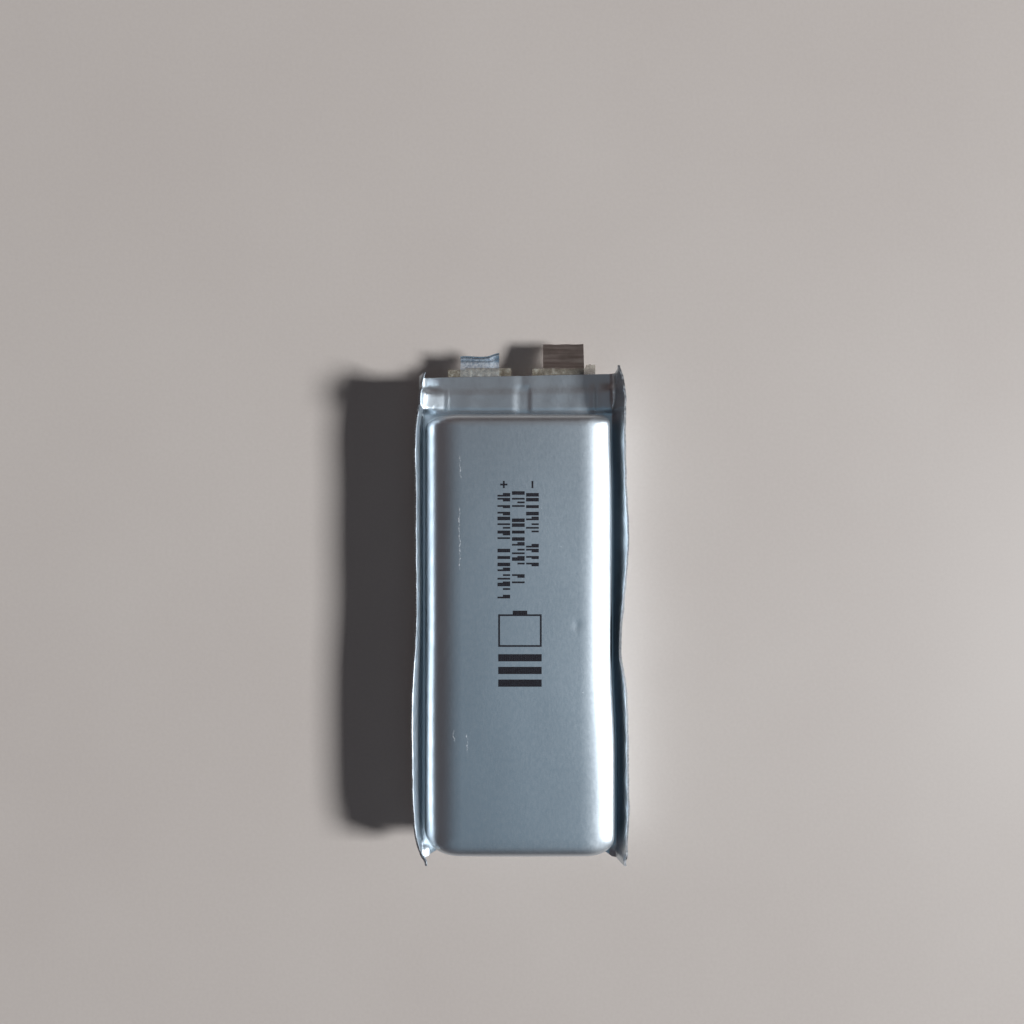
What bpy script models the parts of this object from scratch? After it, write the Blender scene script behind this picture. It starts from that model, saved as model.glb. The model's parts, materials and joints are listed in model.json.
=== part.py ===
"""Lithium-polymer pouch cell with a double-cup foil pouch, a wound electrode roll and two tabs.

Metres, +Z up. The cell lies on its back cup: the origin is the centre of that cup's flat face,
+Y points to the end with the tabs and +X to the right when the cell is seen from above.
"""

import math

import bmesh
import bpy
from mathutils import Matrix, Vector

MM = 0.001

# Pouch
CELL_LENGTH = 68.0 * MM
CELL_THICKNESS = 8.7 * MM
BODY_WIDTH = 26.2 * MM
TERRACE_LENGTH = 5.7 * MM
FOLD_RIDGE = 0.4 * MM  # how far the bottom fold stands out of the cups' end walls
RIM_WIDTH = 0.4 * MM  # flat strip between a cup's side wall and the wing's crease
FOIL = 0.15 * MM  # aluminium laminate
SEAL_GAP = 0.02 * MM  # heat-seal layer between the two foils
WALL_DRAFT = math.radians(3.0)
SIDE_SHOULDER = 3.5 * MM  # the cup's round sides follow the roll's round sides
END_SHOULDER = 1.4 * MM  # at the terrace and at the fold
CORNER_RADIUS = 2.6 * MM  # a cup's corners seen from above
SHOULDER_STEPS = 7

CUP_LENGTH = CELL_LENGTH - TERRACE_LENGTH - FOLD_RIDGE
SEAL_Z = CELL_THICKNESS / 2
CUP_DEPTH = SEAL_Z - SEAL_GAP / 2
CUP_TOP_Y = CUP_LENGTH / 2
CUP_BOTTOM_Y = -CUP_LENGTH / 2
TERRACE_Y = CUP_TOP_Y + TERRACE_LENGTH
FOLD_Y = CUP_BOTTOM_Y - FOLD_RIDGE
RIM_X = BODY_WIDTH / 2 + RIM_WIDTH
CORNER_X = BODY_WIDTH / 2 - CORNER_RADIUS  # centres of the corner arcs at the cup's foot
CORNER_Y = CUP_LENGTH / 2 - CORNER_RADIUS

# Wings, the side seals folded up along the creases
WING_LENGTH = 3.6 * MM
CREASE_RELIEF = 0.2 * MM  # bare strip each side of the crease's axis, where the foil bends
CREASE_X = RIM_X + CREASE_RELIEF
WING_LEAN = math.radians(18.0)  # from upright, away from the body
WING_TOP_EAR = 0.6 * MM  # how far a wing's free corners stand past its crease's ends
WING_BOTTOM_EAR = 0.9 * MM
WING_CLEAR = 0.05 * MM  # between a wing's ends and the ends of the rim beside it

# Tabs
TAB_PITCH = 12.1 * MM
TAB_SHIFT = 0.3 * MM  # the pair stands off the cell's centre line
TAB_X = {"positive": TAB_SHIFT - TAB_PITCH / 2, "negative": TAB_SHIFT + TAB_PITCH / 2}
TAB_THICKNESS = 0.10 * MM
POSITIVE_TAB_WIDTH = 5.6 * MM
NEGATIVE_TAB_WIDTH = 5.9 * MM
POSITIVE_BLADE_LENGTH = 1.8 * MM
NEGATIVE_BLADE_LENGTH = 3.0 * MM
TAB_BEND_RELIEF = 0.20 * MM  # between the film's edge and the blade
FILM_WIDTH = 9.1 * MM
FILM_THICKNESS = 0.10 * MM
FILM_PROTRUSION = 1.25 * MM  # past the terrace's edge
FILM_GAP = 0.02 * MM
FILM_INNER_Y = CUP_TOP_Y + 0.1 * MM
BOSS_RISE = TAB_THICKNESS / 2 + FILM_GAP + FILM_THICKNESS + SEAL_GAP / 2  # foil over the films
BOSS_SLOPE = 0.8 * MM  # the run-out each side of a film

# Electrode roll
ROLL_TURNS = 7.75
ROLL_HALF_FLAT = 8.9 * MM  # half the distance between the centres of the roll's round sides
ROLL_CORE_RADIUS = 0.58 * MM
ROLL_PITCH = 0.44 * MM  # growth in radius per turn
ROLL_SIDE_SQUEEZE = 0.94  # the pressed roll's layers lie closer together at its round sides
CATHODE_THICKNESS = 0.125 * MM
ANODE_THICKNESS = 0.125 * MM
SEPARATOR_THICKNESS = 0.045 * MM
LAYER_GAP = 0.02 * MM
SEPARATOR_HEIGHT = 56.6 * MM
ANODE_HEIGHT = 55.4 * MM
CATHODE_HEIGHT = 54.4 * MM
ROLL_BOTTOM_Y = -28.95 * MM
ROLL_CENTRE_Y = ROLL_BOTTOM_Y + SEPARATOR_HEIGHT / 2
ROLL_REACH = ROLL_CORE_RADIUS + ROLL_PITCH * ROLL_TURNS + SEPARATOR_THICKNESS
ARC_STEPS = 10  # per half turn
ANODE_TURNS = (0.1, ROLL_TURNS - 0.65)  # where each strip starts and ends, in turns
CATHODE_TURNS = (0.35, ROLL_TURNS - 1.0)
OUTER_SEPARATOR_END = ROLL_TURNS - 0.45
TAB_WELD_LENGTH = 25.0 * MM  # of each tab's root inside the roll
TAPE_THICKNESS = 0.06 * MM
TAPE_GAP = 0.02 * MM
WELD_TAPE_MARGIN = 0.3 * MM  # narrower than the tab on each side
WELD_TAPE_INNER_LAP = 1.0 * MM  # past the root's end inside the roll
WELD_TAPE_OUTER_LAP = 0.5 * MM  # past the separators' edge
CLOSING_TAPE_WIDTH = 6.0 * MM
CLOSING_TAPE_LENGTH = 46.0 * MM
BOTTOM_TAPE_WIDTH = 8.0 * MM
BOTTOM_TAPE_LEG = 9.0 * MM
BETWEEN_TAPES = 1.0 * MM

SMOOTH_ANGLE = math.radians(35)  # faces that meet flatter than this are shaded as one surface

WHITE_GREY = (0.62, 0.66, 0.70)


def material(name, colour, roughness, metallic):
    made = bpy.data.materials.new(name)
    made.use_nodes = True
    shader = made.node_tree.nodes["Principled BSDF"]
    shader.inputs["Base Color"].default_value = (*colour, 1.0)
    shader.inputs["Roughness"].default_value = roughness
    shader.inputs["Metallic"].default_value = metallic
    return made


def add_object(name, mesh, finish, smooth_angle=None):
    """Put a mesh in the scene with its own material, smooth where faces meet flatter than an angle."""
    made = bpy.data.objects.new(name, mesh)
    bpy.context.scene.collection.objects.link(made)
    mesh.materials.append(material(name, *finish))
    if smooth_angle is not None:
        mesh.shade_smooth()
        mesh.set_sharp_from_angle(angle=smooth_angle)
    return made


def mesh_from(name, bm):
    bmesh.ops.recalc_face_normals(bm, faces=bm.faces)
    mesh = bpy.data.meshes.new(name)
    bm.to_mesh(mesh)
    bm.free()
    return mesh


def pivot_at(name, place):
    """An empty on a joint's axis, for a moving piece to hang from."""
    pivot = bpy.data.objects.new(name, None)
    pivot.location = place
    bpy.context.scene.collection.objects.link(pivot)
    return pivot


def slab(name, low, high, finish):
    """A thin plate between two corners."""
    bm = bmesh.new()
    bmesh.ops.create_cube(bm, size=1.0)
    size = Vector(high) - Vector(low)
    centre = (Vector(high) + Vector(low)) / 2
    bmesh.ops.scale(bm, vec=size, verts=bm.verts)
    bmesh.ops.translate(bm, vec=centre, verts=bm.verts)
    return add_object(name, mesh_from(name, bm), finish)


# ---------------------------------------------------------------------------------------------
# Pouch shells


def film_lift(x):
    """How far the foil stands off the seal plane at x, over the tabs' films."""
    lift = 0.0
    for centre in TAB_X.values():
        beyond = abs(x - centre) - FILM_WIDTH / 2
        ease = min(1.0, max(0.0, 1.0 - beyond / BOSS_SLOPE))
        lift = max(lift, BOSS_RISE * ease)
    return lift


def lift_xs():
    """Where the terrace needs a point along x: the ends of each rise over a film."""
    xs = {0.0}
    for centre in TAB_X.values():
        for side in (-1, 1):
            edge = centre + side * FILM_WIDTH / 2
            xs.update((edge, edge + side * BOSS_SLOPE))
    return sorted(xs)


def top_corner(sign):
    """Stations round a cup corner at the terrace, from the side; each meets the edge at its own x."""
    angles = [0.0, math.radians(20.0), math.radians(38.0)]
    lifts = sorted(x * sign for x in lift_xs() if x * sign > CORNER_X)
    angles += [math.acos((x - CORNER_X) / CORNER_RADIUS) for x in reversed(lifts)]
    angles.append(math.pi / 2)
    corner = Vector((sign, 1))
    out = Vector((sign, 0))
    stations = [(corner, out, Vector((RIM_X * sign, CORNER_Y)))]
    stations.append((corner, out, Vector((RIM_X * sign, TERRACE_Y))))
    for a in angles:
        out = Vector((math.cos(a) * sign, math.sin(a)))
        foot_x = CORNER_X * sign + out.x * CORNER_RADIUS
        stations.append((corner, out, Vector((foot_x, TERRACE_Y))))
    return stations


def bottom_corner(sign):
    """Stations round a cup corner at the fold, from the side; each meets the edge on its own ray."""
    to_corner = math.atan2(CORNER_RADIUS + FOLD_RIDGE, CORNER_RADIUS + RIM_WIDTH)
    angles = [to_corner * k / 3 for k in range(4)]
    angles += [to_corner + (math.pi / 2 - to_corner) * k / 3 for k in (1, 2, 3)]
    flip = Vector((sign, -1))
    stations = []
    for a in angles:
        way = Vector((math.cos(a), math.sin(a)))
        to_side = (CORNER_RADIUS + RIM_WIDTH) / max(way.x, 1e-9)
        to_end = (CORNER_RADIUS + FOLD_RIDGE) / max(way.y, 1e-9)
        edge = Vector((CORNER_X, CORNER_Y)) + way * min(to_side, to_end)
        stations.append((flip, way * flip, edge * flip))
    return stations


def cup_stations():
    """Walk once round the cup, anticlockwise from the right side.

    Each station is (place between the corner arcs' centres, as shares of their distances from the
    cup's middle; outward direction; point on the flange's edge).
    """
    stations = top_corner(1)
    for x in reversed(lift_xs()):
        if abs(x) < CORNER_X:
            stations.append((Vector((x / CORNER_X, 1)), Vector((0, 1)), Vector((x, TERRACE_Y))))
    stations += reversed(top_corner(-1))
    stations += bottom_corner(-1)
    stations += reversed(bottom_corner(1))
    return stations


def shoulder_point(shoulder, angle, thickness):
    """Where a cup's wall is at one angle of its shoulder: (inset from the foot, height)."""
    centre_height = CUP_DEPTH - shoulder
    centre_inset = centre_height * math.tan(WALL_DRAFT) + shoulder / math.cos(WALL_DRAFT)
    radius = shoulder - thickness
    return centre_inset - radius * math.cos(angle), centre_height + radius * math.sin(angle)


def shell_mesh(name):
    """One half of the pouch, cup upwards, with its flange on the seal gap's upper side."""
    bm = bmesh.new()
    stations = cup_stations()
    base = SEAL_GAP / 2
    rings = []

    def lift(station):
        return film_lift(station[2].x) if station[2].y > CUP_TOP_Y else 0.0

    def edge_ring(height):
        rings.append([bm.verts.new((*s[2], base + height + lift(s))) for s in stations])

    def foot_ring(inset, height):
        ring = []
        for corner, out, edge in stations:
            x = corner.x * CORNER_X + out.x * (CORNER_RADIUS - inset)
            y = corner.y * CORNER_Y + out.y * (CORNER_RADIUS - inset)
            ring.append(bm.verts.new((x, y, base + height + lift((corner, out, edge)))))
        rings.append(ring)

    def shoulder_ring(angle, thickness):
        side_inset, side_height = shoulder_point(SIDE_SHOULDER, angle, thickness)
        end_inset, end_height = shoulder_point(END_SHOULDER, angle, thickness)
        ring = []
        for corner, out, edge in stations:
            x = corner.x * (CORNER_X - side_inset) + out.x * CORNER_RADIUS
            y = corner.y * (CORNER_Y - end_inset) + out.y * CORNER_RADIUS
            height = out.x**2 * side_height + out.y**2 * end_height
            ring.append(bm.verts.new((x, y, base + height)))
        rings.append(ring)

    angles = [
        WALL_DRAFT + (math.pi / 2 - WALL_DRAFT) * k / SHOULDER_STEPS
        for k in range(SHOULDER_STEPS + 1)
    ]
    edge_ring(0.0)
    edge_ring(FOIL)
    foot_ring(0.0, FOIL)
    for angle in angles:
        shoulder_ring(angle, 0.0)
    top = len(rings) - 1
    for angle in reversed(angles):
        shoulder_ring(angle, FOIL)
    foot_ring(FOIL, 0.0)

    bm.faces.new(rings[top])
    bm.faces.new(rings[top + 1])
    count = len(stations)
    for k in range(len(rings)):
        if k == top:
            continue
        low = rings[k]
        high = rings[(k + 1) % len(rings)]
        for i in range(count):
            j = (i + 1) % count
            bm.faces.new((low[i], low[j], high[j], high[i]))
    bmesh.ops.remove_doubles(bm, verts=bm.verts, dist=1e-7)
    return mesh_from(name, bm)


def pouch_shell(name, side):
    """side 1 is the front shell, cup up; side -1 the back shell, cup down."""
    mesh = shell_mesh(name)
    if side < 0:
        mesh.transform(Matrix.Scale(-1, 4, (0, 0, 1)))
        mesh.flip_normals()
    shell = add_object(name, mesh, (WHITE_GREY, 0.32, 1.0), SMOOTH_ANGLE)
    shell.location.z = SEAL_Z
    return shell


# ---------------------------------------------------------------------------------------------
# Wings


def wing_outline():
    """Outline of a flat wing, x outwards from the crease and y along the cell."""
    low = FOLD_Y + WING_CLEAR
    high = TERRACE_Y - WING_CLEAR
    return (
        (CREASE_RELIEF, low),
        (WING_LENGTH / 2, low - WING_BOTTOM_EAR / 4),
        (WING_LENGTH, low - WING_BOTTOM_EAR),
        (WING_LENGTH, high + WING_TOP_EAR),
        (WING_LENGTH / 2, high + WING_TOP_EAR / 2),
        (CREASE_RELIEF, high),
    )


def wing_ply(name, pivot, side, ply):
    """One foil of a side seal, leaning out from the crease; ply 1 is the front shell's foil."""
    bm = bmesh.new()
    low = SEAL_GAP / 2 * ply
    high = (SEAL_GAP / 2 + FOIL) * ply
    rise = math.pi / 2 - WING_LEAN
    outline = wing_outline()
    loops = []
    for z in (low, high):
        loops.append([bm.verts.new((x, y, z)) for x, y in outline])
    bm.faces.new(loops[0])
    bm.faces.new(loops[1])
    for i in range(len(outline)):
        j = (i + 1) % len(outline)
        bm.faces.new((loops[0][i], loops[0][j], loops[1][j], loops[1][i]))
    bmesh.ops.rotate(bm, cent=(0, 0, 0), matrix=Matrix.Rotation(-rise, 3, "Y"), verts=bm.verts)
    if side < 0:
        bmesh.ops.scale(bm, vec=(-1, 1, 1), verts=bm.verts)
    made = add_object(name, mesh_from(name, bm), (WHITE_GREY, 0.30, 1.0))
    made.parent = pivot
    return made


def wing(side_name, side):
    pivot = pivot_at(side_name + "_wing_crease", (side * CREASE_X, 0, SEAL_Z))
    wing_ply(side_name + "_wing_front_ply", pivot, side, 1)
    wing_ply(side_name + "_wing_back_ply", pivot, side, -1)


# ---------------------------------------------------------------------------------------------
# Tabs and their sealing films


def tab(pole, width, blade_length, finish):
    """The tab's root, sealed into the pouch, its bending blade and the films on its two sides."""
    x = TAB_X[pole]
    half = width / 2
    thin = TAB_THICKNESS / 2
    film_edge = TERRACE_Y + FILM_PROTRUSION
    roll_top = ROLL_BOTTOM_Y + SEPARATOR_HEIGHT
    root_inner = roll_top - TAB_WELD_LENGTH
    slab(
        pole + "_tab_root",
        (x - half, root_inner, SEAL_Z - thin),
        (x + half, film_edge, SEAL_Z + thin),
        finish,
    )
    tape_half = half - WELD_TAPE_MARGIN
    tape_low = SEAL_Z + thin + TAPE_GAP
    slab(
        pole + "_weld_tape",
        (x - tape_half, root_inner - WELD_TAPE_INNER_LAP, tape_low),
        (x + tape_half, roll_top + WELD_TAPE_OUTER_LAP, tape_low + TAPE_THICKNESS),
        ((0.20, 0.42, 0.30), 0.4, 0.0),
    )
    pivot = pivot_at(pole + "_tab_bend", (x, film_edge + TAB_BEND_RELIEF / 2, SEAL_Z))
    blade = slab(
        pole + "_tab_blade",
        (-half, TAB_BEND_RELIEF / 2, -thin),
        (half, blade_length, thin),
        finish,
    )
    blade.parent = pivot
    for face, sign in (("front", 1), ("back", -1)):
        near = SEAL_Z + sign * (thin + FILM_GAP)
        far = near + sign * FILM_THICKNESS
        slab(
            pole + "_tab_film_" + face,
            (x - FILM_WIDTH / 2, FILM_INNER_Y, min(near, far)),
            (x + FILM_WIDTH / 2, film_edge, max(near, far)),
            ((0.62, 0.52, 0.36), 0.45, 0.0),
        )


# ---------------------------------------------------------------------------------------------
# Electrode roll


def roll_point(angle, offset):
    """A point of the flattened spiral; angle counts up through the turns, offset is outward."""
    radius = ROLL_CORE_RADIUS + ROLL_PITCH * angle / (2 * math.pi) + offset
    phase = angle % (2 * math.pi)
    right = phase <= math.pi / 2 + 1e-9 or phase >= 1.5 * math.pi - 1e-9
    centre = ROLL_HALF_FLAT if right else -ROLL_HALF_FLAT
    return Vector(
        (
            centre + ROLL_SIDE_SQUEEZE * radius * math.cos(phase),
            SEAL_Z + radius * math.sin(phase),
        )
    )


def roll_path(start, end, offset):
    """Points of the spiral from one angle to another, both ends of each flat run included."""
    points = []
    step = math.pi / ARC_STEPS
    first = math.ceil(start / step - 1e-6)
    last = math.floor(end / step + 1e-6)
    for k in range(first, last + 1):
        angle = k * step
        quarter = (k * 2) % (2 * ARC_STEPS) == ARC_STEPS
        if not quarter:
            points.append(roll_point(angle, offset))
            continue
        # A flat run starts or ends here: place the point at both round sides.
        rising = (k * 2) % (4 * ARC_STEPS) == ARC_STEPS
        sides = (1, -1) if rising else (-1, 1)
        radius = ROLL_CORE_RADIUS + ROLL_PITCH * angle / (2 * math.pi) + offset
        height = SEAL_Z + radius * (1 if rising else -1)
        for side in sides:
            points.append(Vector((side * ROLL_HALF_FLAT, height)))
    return points


def strip(name, start_turn, end_turn, offset, thickness, height, finish):
    """A wound strip: the spiral given a thickness, and a height along the cell."""
    start = start_turn * 2 * math.pi
    end = end_turn * 2 * math.pi
    inside = roll_path(start, end, offset)
    outside = roll_path(start, end, offset + thickness)
    bm = bmesh.new()
    low = ROLL_CENTRE_Y - height / 2
    high = ROLL_CENTRE_Y + height / 2
    rows = []
    for path, y in ((inside, low), (outside, low), (outside, high), (inside, high)):
        rows.append([bm.verts.new((p.x, y, p.y)) for p in path])
    for i in range(len(inside) - 1):
        for a, b in ((0, 1), (1, 2), (2, 3), (3, 0)):
            bm.faces.new((rows[a][i], rows[b][i], rows[b][i + 1], rows[a][i + 1]))
    bm.faces.new([row[0] for row in rows])
    bm.faces.new([row[-1] for row in reversed(rows)])
    return add_object(name, mesh_from(name, bm), finish, SMOOTH_ANGLE)


def electrode_roll():
    """Separator, anode, separator and cathode, wound on each other in that order."""
    first_separator = 0.0
    anode = first_separator + SEPARATOR_THICKNESS + LAYER_GAP
    second_separator = anode + ANODE_THICKNESS + LAYER_GAP
    cathode = second_separator + SEPARATOR_THICKNESS + LAYER_GAP
    paper = ((0.86, 0.86, 0.84), 0.6, 0.0)
    coated_copper = ((0.09, 0.085, 0.085), 0.75, 0.0)
    coated_aluminium = ((0.14, 0.14, 0.15), 0.7, 0.0)
    paper_size = (SEPARATOR_THICKNESS, SEPARATOR_HEIGHT)
    anode_size = (ANODE_THICKNESS, ANODE_HEIGHT)
    cathode_size = (CATHODE_THICKNESS, CATHODE_HEIGHT)
    strip("separator_inner", 0.0, ROLL_TURNS, first_separator, *paper_size, paper)
    strip("anode_strip", *ANODE_TURNS, anode, *anode_size, coated_copper)
    strip("separator_outer", 0.0, OUTER_SEPARATOR_END, second_separator, *paper_size, paper)
    strip("cathode_strip", *CATHODE_TURNS, cathode, *cathode_size, coated_aluminium)


def roll_tapes():
    """Tape over the winding's outer end, and tape folded round the roll's bottom end."""
    near = ROLL_REACH + TAPE_GAP
    far = near + TAPE_THICKNESS
    slab(
        "roll_closing_tape",
        (ROLL_HALF_FLAT - CLOSING_TAPE_WIDTH, ROLL_CENTRE_Y - CLOSING_TAPE_LENGTH / 2, SEAL_Z - far),
        (ROLL_HALF_FLAT, ROLL_CENTRE_Y + CLOSING_TAPE_LENGTH / 2, SEAL_Z - near),
        ((0.80, 0.66, 0.30), 0.4, 0.0),
    )
    leg_end = ROLL_BOTTOM_Y + BOTTOM_TAPE_LEG
    inner = ROLL_BOTTOM_Y - TAPE_GAP
    outer = inner - TAPE_THICKNESS
    outline = (
        (leg_end, near),
        (leg_end, far),
        (outer, far),
        (outer, -far),
        (leg_end, -far),
        (leg_end, -near),
        (inner, -near),
        (inner, near),
    )
    bm = bmesh.new()
    profile = bm.faces.new([bm.verts.new((0, y, SEAL_Z + z)) for y, z in outline])
    extruded = bmesh.ops.extrude_face_region(bm, geom=[profile], use_keep_orig=True)
    moved = [v for v in extruded["geom"] if isinstance(v, bmesh.types.BMVert)]
    bmesh.ops.translate(bm, vec=(BOTTOM_TAPE_WIDTH, 0, 0), verts=moved)
    right = ROLL_HALF_FLAT - CLOSING_TAPE_WIDTH - BETWEEN_TAPES
    bmesh.ops.translate(bm, vec=(right - BOTTOM_TAPE_WIDTH, 0, 0), verts=bm.verts)
    add_object("roll_bottom_tape", mesh_from("roll_bottom_tape", bm), ((0.25, 0.45, 0.25), 0.4, 0.0))


def clear_scene():
    for thing in list(bpy.data.objects):
        bpy.data.objects.remove(thing, do_unlink=True)


def main():
    clear_scene()
    pouch_shell("front_pouch_shell", 1)
    pouch_shell("back_pouch_shell", -1)
    wing("left", -1)
    wing("right", 1)
    tab(
        "positive",
        POSITIVE_TAB_WIDTH,
        POSITIVE_BLADE_LENGTH,
        ((0.75, 0.77, 0.79), 0.30, 1.0),
    )
    tab(
        "negative",
        NEGATIVE_TAB_WIDTH,
        NEGATIVE_BLADE_LENGTH,
        ((0.50, 0.46, 0.42), 0.28, 1.0),
    )
    electrode_roll()
    roll_tapes()


main()
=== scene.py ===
"""Looks of the pouch cell: embossed foil pouch, side wings, tabs with their films, print and insides.

Lengths are in millimetres until a mesh is made, in the CAD's own frame: +Z up, +Y towards the tabs. The floor
and the light are in metres.
"""

import json
import math

import bpy
import numpy as np
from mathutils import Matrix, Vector


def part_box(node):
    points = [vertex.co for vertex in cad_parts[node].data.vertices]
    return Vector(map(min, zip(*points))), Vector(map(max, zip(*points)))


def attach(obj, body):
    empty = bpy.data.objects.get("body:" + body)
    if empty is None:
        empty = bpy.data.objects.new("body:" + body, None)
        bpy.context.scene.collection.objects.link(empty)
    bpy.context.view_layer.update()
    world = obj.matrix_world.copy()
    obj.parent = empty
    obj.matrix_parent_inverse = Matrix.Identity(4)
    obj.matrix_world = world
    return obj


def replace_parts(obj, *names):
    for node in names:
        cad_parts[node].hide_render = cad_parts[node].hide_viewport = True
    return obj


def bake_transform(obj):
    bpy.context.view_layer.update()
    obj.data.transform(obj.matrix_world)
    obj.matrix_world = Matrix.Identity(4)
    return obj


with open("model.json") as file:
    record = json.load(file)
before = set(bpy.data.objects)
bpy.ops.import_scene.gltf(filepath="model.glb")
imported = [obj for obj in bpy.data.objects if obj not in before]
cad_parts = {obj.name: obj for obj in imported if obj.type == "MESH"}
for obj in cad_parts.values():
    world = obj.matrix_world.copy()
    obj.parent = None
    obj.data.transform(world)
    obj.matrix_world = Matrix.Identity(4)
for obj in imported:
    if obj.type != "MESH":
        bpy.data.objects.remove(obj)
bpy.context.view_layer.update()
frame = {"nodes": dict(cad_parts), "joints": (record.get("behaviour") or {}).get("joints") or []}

MM = 0.001

# ---------------------------------------------------------------------------------------------
# Dimensions, from the CAD


def box_mm(node):
    low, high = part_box(node)
    return np.array(low) / MM, np.array(high) / MM


def joint_mm(name):
    joint = next(j for j in frame["joints"] if j["name"] == name)
    return np.array(joint["pos_m"]) / MM


FRONT_LOW, FRONT_HIGH = box_mm("front_pouch_shell")
BACK_HIGH = box_mm("back_pouch_shell")[1]
SEAL_Z = (FRONT_LOW[2] + BACK_HIGH[2]) / 2
SEAL_GAP = FRONT_LOW[2] - BACK_HIGH[2]
TOP_Z = FRONT_HIGH[2]
FOLD_Y = FRONT_LOW[1]
TERRACE_Y = FRONT_HIGH[1]
RIM_X = FRONT_HIGH[0]
CREASE_X = joint_mm("right_wing_fold")[0]
FOIL = 0.15  # thickness of the laminate

# Cups
TERRACE_LENGTH = 5.7  # from the cup to the laminate's edge at the tabs
FOOT_X = RIM_X - 0.3  # a cup's foot: half its width, and its two ends
FOOT_LOW = FOLD_Y + 0.15
FOOT_HIGH = TERRACE_Y - TERRACE_LENGTH
LEFT_ROUND = 5.0  # widths of the round sides, from the flat face to the foot
RIGHT_ROUND = 4.75
LOW_ROUND = 3.2
HIGH_ROUND = 2.0
LEFT_POWER = 2.2  # 2 makes an ellipse, more a squarer shoulder
LOW_POWER = 4.0
HIGH_POWER = 3.2
LEFT_PLAN_POWER = 2.1  # the same for the cup's corners, seen from above
HIGH_RIGHT_PLAN_POWER = 3.8
LOW_RIGHT_PLAN_POWER = 2.8
FOOT_FILLET = 0.12  # height of the small fillet at the foot
FILLET_DECAY = 0.04  # how fast the fillet runs out into the flange
SEAM_X = RIM_X - 0.2  # where a shell ends and a wing begins

# Flange and wings
CORNER_EAR = 0.85  # the side seals' lower corners stand out past the fold
CURVE_START = 10.0  # the flange is flat from the middle to here
WING_LENGTH = 3.65  # from the crease to the free edge
TERRACE_SLANT = 0.0215  # the terrace is trimmed a little askew
DROOP = 0.06  # slope of the terrace towards its edge
SEAL_BAND = 1.85  # pressed flat along the terrace's edge
FLARE = 0.18  # the cut edge of a wing is turned outward over this width
FLARE_TURN = (0.5, 0.12)  # left and right
FLARE_OUT = (0.33, 0.08)  # what the flare adds to the edge's reach
FILM_RISE = 0.17  # the flange stands up over the tabs' films
MIDDLE_STEPS = 140  # steps of the integral along the middle surface


def smooth(low, high, x):
    t = np.clip((np.asarray(x, float) - low) / (high - low), 0, 1)
    return t * t * (3 - 2 * t)


def through(points, x):
    """A smooth curve through a few (x, value) points."""
    px, py = np.array(sorted(points), float).T
    slope = np.gradient(py, px)
    x = np.clip(np.asarray(x, float), px[0], px[-1])
    k = np.clip(np.searchsorted(px, x) - 1, 0, len(px) - 2)
    h = px[k + 1] - px[k]
    t = (x - px[k]) / h
    return (
        (2 * t**3 - 3 * t**2 + 1) * py[k]
        + (t**3 - 2 * t**2 + t) * h * slope[k]
        + (-2 * t**3 + 3 * t**2) * py[k + 1]
        + (t**3 - t**2) * h * slope[k + 1]
    )


def ripple(x, y, wave, seed):
    """Soft waviness between -1 and 1, a few sines in random directions."""
    rng = np.random.RandomState(seed)
    total = 0.0
    for _ in range(5):
        angle, phase, size = rng.uniform(0, 2 * math.pi, 2).tolist() + [rng.uniform(0.7, 1.6)]
        k = 2 * math.pi / (wave * size)
        total = total + np.sin(k * (x * math.cos(angle) + y * math.sin(angle)) + phase)
    return total / 5


def bulge(x, y):
    """How far the cell's sides stand out or in along its length: x is signed."""
    right = 0.44 * smooth(-4, -17, y) - 0.20 * smooth(20, 29, y) - 0.14
    left = -0.27 - 0.08 * smooth(-2, -24, y)
    return np.where(x > 0, right * smooth(7.5, 12.5, x), left * smooth(7.5, 12.5, -x))


# ---------------------------------------------------------------------------------------------
# The flange's and wings' middle surface

LEFT_EDGE = [  # (y, x) of the free edge, seen from above
    (-32.7, -13.0), (-31.4, -13.5), (-28.6, -14.45), (-24.4, -14.95), (-17.4, -15.15),
    (-9.1, -15.15), (-0.7, -14.65), (18.8, -14.65), (30.6, -14.4), (36.9, -12.95),
]
RIGHT_EDGE = [
    (-32.7, 14.85), (-28.6, 14.8), (-25.8, 15.05), (-20.2, 14.95), (-11.9, 14.85), (-6.3, 14.5),
    (-3.5, 13.95), (-0.7, 13.85), (4.9, 14.35), (7.6, 14.65), (13.2, 15.05), (21.6, 14.65),
    (27.1, 14.5), (32.7, 14.5), (35.5, 13.95), (37.6, 13.3),
]


def droop(y):
    """How far the terrace, and what leaves it, hangs below the seal plane."""
    beyond = np.maximum(np.asarray(y, float) - FOOT_HIGH - 0.2, 0)
    return DROOP * beyond**2 / (beyond + 0.4)


def wing_lean(side, y):
    """Angle from upright, away from the body, that puts the free edge where it should be."""
    edge = through(LEFT_EDGE if side < 0 else RIGHT_EDGE, y) - side * FLARE_OUT[side > 0]
    crease = side * CREASE_X + bulge(side * CREASE_X, y)
    return np.arcsin(np.clip((edge - crease) * side / WING_LENGTH, -0.5, 0.6))


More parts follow.
